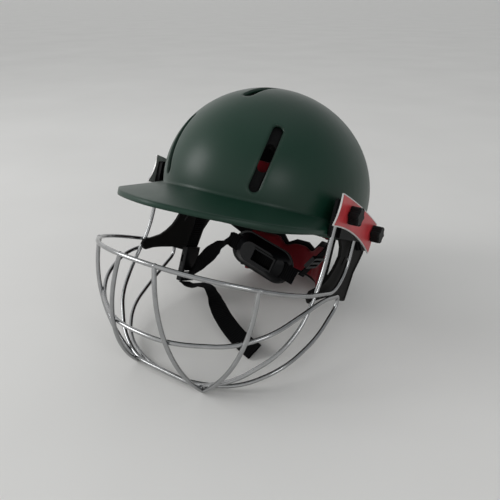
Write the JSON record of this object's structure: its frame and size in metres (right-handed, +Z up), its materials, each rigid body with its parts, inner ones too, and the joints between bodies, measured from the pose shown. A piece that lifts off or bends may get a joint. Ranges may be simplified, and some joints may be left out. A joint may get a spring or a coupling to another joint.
{
  "type": "cricket helmet",
  "caption": "cricket batting helmet with a peaked shell, padded lining, welded wire face grille in side clamps, ear guards, nape cradle and a chin cup on webbing",
  "frame": {"origin": "on the ground, under the middle of the bounding box, with the helmet resting on the grille's two feet and the nape cradle", "axes": "+Z up, -Y the way the peak points, +X the wearer's left"},
  "size_m": [0.255, 0.3566, 0.2549],
  "materials": {
    "shell": "dark bottle green, satin moulded",
    "liner": "closed-cell foam",
    "pads": "red jersey over foam",
    "wire": "satin silver steel wire",
    "clamp": "black nylon",
    "badge": "red enamel in a pale border",
    "knob": "black moulded",
    "metal": "zinc plated",
    "guard": "grained black",
    "cradle": "black moulded",
    "webbing": "ribbed black webbing",
    "buckle": "black acetal",
    "cup": "black moulded"
  },
  "bodies": {
    "helmet": {"outer_shell": "shell", "impact_liner": "liner", "brow_pad": "pads", "crown_pad": "pads", "rear_pad": "pads", "side_pad_left": "pads", "side_pad_right": "pads", "clamp_base_left": "clamp", "clamp_base_right": "clamp", "clamp_cap_left": "clamp", "clamp_cap_right": "clamp", "badge_plate_left": "badge", "badge_plate_right": "badge", "clamp_nuts_left": "metal", "clamp_nuts_right": "metal", "knob_bolts_left": "metal", "knob_bolts_right": "metal", "ear_guard_left": "guard", "ear_guard_right": "guard", "cradle_stud_left": "cradle", "cradle_stud_right": "cradle", "rear_cradle": "cradle", "cradle_pad": "pads", "side_strap_left": "webbing", "side_strap_right": "webbing", "cup_strap": "webbing", "strap_tail": "webbing", "strap_anchor_left": "buckle", "strap_anchor_right": "buckle", "buckle_female": "buckle"},
    "grille": {"grille_top_bar": "wire", "grille_chin_hoop": "wire", "grille_guard_loop": "wire", "grille_v_bar_left": "wire", "grille_v_bar_right": "wire"},
    "buckle_prongs": {"buckle_male": "buckle"},
    "chin_cup": {"chin_cup": "cup", "cup_pad": "liner"},
    "slider": {"strap_slider": "buckle"},
    "knob_front_left": {"knob_front_left": "knob"},
    "knob_rear_left": {"knob_rear_left": "knob"},
    "knob_front_right": {"knob_front_right": "knob"},
    "knob_rear_right": {"knob_rear_right": "knob"}
  },
  "joints": [
    {"name": "grille_height", "type": "slide", "parent": "helmet", "child": "grille", "axis": [0, 0.3955, 0.9184], "range_m": [-0.006, 0.006]},
    {"name": "buckle_release", "type": "slide", "parent": "helmet", "child": "buckle_prongs", "axis": [0, -0.3955, -0.9184], "range_m": [0, 0.015], "deforming": ["cup_strap", "strap_tail"]},
    {"name": "cup_shift", "type": "slide", "parent": "helmet", "child": "chin_cup", "axis": [0.9724, -0.0923, -0.2144], "range_m": [-0.005, 0.005]},
    {"name": "slider_shift", "type": "slide", "parent": "helmet", "child": "slider", "axis": [-0.542, -0.3324, -0.7718], "range_m": [-0.007, 0.007]},
    {"name": "knob_front_left_turn", "type": "hinge", "parent": "helmet", "child": "knob_front_left", "pos_m": [0.121, 0.00651, 0.14903], "axis": [1, 0, 0], "range_deg": [0, 720]},
    {"name": "knob_rear_left_turn", "type": "hinge", "parent": "helmet", "child": "knob_rear_left", "pos_m": [0.121, 0.07425, 0.10407], "axis": [1, 0, 0], "range_deg": [0, 720]},
    {"name": "knob_front_right_turn", "type": "hinge", "parent": "helmet", "child": "knob_front_right", "pos_m": [-0.121, 0.00651, 0.14903], "axis": [-1, 0, 0], "range_deg": [0, 720]},
    {"name": "knob_rear_right_turn", "type": "hinge", "parent": "helmet", "child": "knob_rear_right", "pos_m": [-0.121, 0.07425, 0.10407], "axis": [-1, 0, 0], "range_deg": [0, 720]}
  ]
}
